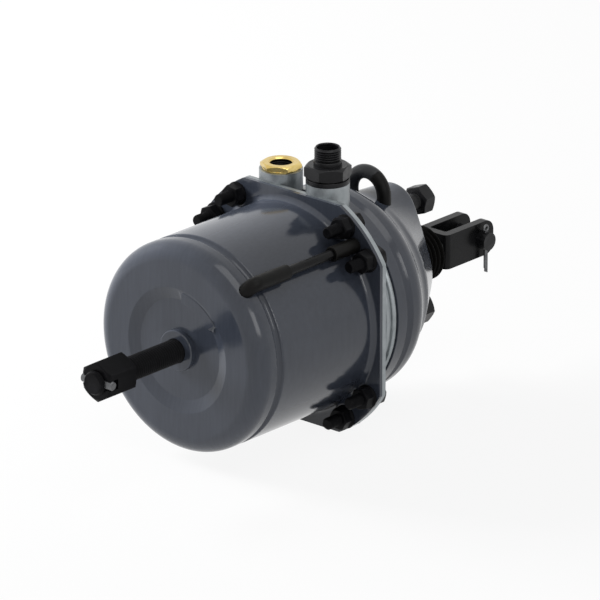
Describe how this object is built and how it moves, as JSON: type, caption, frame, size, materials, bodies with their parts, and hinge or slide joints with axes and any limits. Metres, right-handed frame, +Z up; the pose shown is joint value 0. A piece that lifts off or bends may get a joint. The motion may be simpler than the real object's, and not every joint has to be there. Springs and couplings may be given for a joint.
{
  "type": "air brake chamber",
  "caption": "Combination air brake chamber: service chamber with clevis rod, bolted to a spring chamber with its release bolt wound out.",
  "frame": {"origin": "centre of the mounting face, on the push rod's axis", "axes": "+X along the push rod, out of the mounting face; +Z up, the way the two air ports point; +Y completes it, away from the breather pipe"},
  "size_m": [0.3767, 0.1518, 0.1856],
  "materials": {
    "painted_steel": "satin dark blue-grey paint",
    "black_steel": "black zinc or phosphate",
    "zinc_steel": "dull zinc",
    "aluminium": "cast, machined at the flange",
    "brass": "turned",
    "rubber": "matt moulded",
    "moulded_plastic": "matt moulded",
    "spring_steel": "oiled spring wire",
    "bright_steel": "ground",
    "bronze": "sintered bronze"
  },
  "bodies": {
    "housing": {"service_housing": "painted_steel", "mounting_studs": "black_steel", "stud_nuts": "black_steel", "diaphragm": "rubber", "return_spring": "spring_steel", "bellows": "rubber", "centre_housing": "aluminium", "tube_bush": "bronze", "tube_seal": "rubber", "flange_seal": "rubber", "flange_bolts": "zinc_steel", "flange_nuts": "black_steel", "port_fitting_brass": "brass", "port_washer": "black_steel", "port_fitting_black": "black_steel", "spring_housing": "painted_steel", "release_boss": "painted_steel", "power_spring": "spring_steel", "breather_pipe": "moulded_plastic", "breather_sleeve": "rubber", "breather_elbow": "rubber", "vent_hose": "rubber", "vent_elbow": "moulded_plastic"},
    "push_rod": {"push_rod": "zinc_steel", "push_plate": "zinc_steel", "lock_nut": "black_steel", "clevis": "black_steel"},
    "clevis_pin": {"clevis_pin": "black_steel", "split_pin": "zinc_steel"},
    "release_race": {"thrust_race": "bright_steel"},
    "release_bolt": {"release_bolt": "black_steel", "release_nut": "black_steel", "release_pin": "zinc_steel"},
    "spring_piston": {"spring_piston": "aluminium", "piston_tube": "bright_steel", "tube_cap": "aluminium", "guide_ring": "moulded_plastic", "piston_seal": "rubber"}
  },
  "joints": [
    {"name": "push_rod_slide", "type": "slide", "parent": "housing", "child": "push_rod", "axis": [1, 0, 0], "range_m": [0, 0.045], "stiffness_N_per_m": 1500, "springref_m": -0.03, "deforming": ["return_spring", "diaphragm", "bellows"]},
    {"name": "clevis_pin_turn", "type": "hinge", "parent": "push_rod", "child": "clevis_pin", "pos_m": [0.072, 0, 0], "axis": [0, -1, 0], "continuous": true},
    {"name": "release_bolt_slide", "type": "slide", "parent": "housing", "child": "release_race", "axis": [1, 0, 0], "range_m": [0, 0.048]},
    {"name": "release_bolt_turn", "type": "hinge", "parent": "release_race", "child": "release_bolt", "pos_m": [-0.2, 0, 0], "axis": [1, 0, 0], "range_deg": [0, 8640]},
    {"name": "piston_air_release", "type": "slide", "parent": "housing", "child": "spring_piston", "axis": [-1, 0, 0], "range_m": [0, 0.004], "stiffness_N_per_m": 8000, "springref_m": -0.002, "deforming": ["power_spring"]}
  ],
  "couplings": [
    {"joint": "release_bolt_turn", "follows": "release_bolt_slide", "rad_per_m": 3141.6}
  ]
}
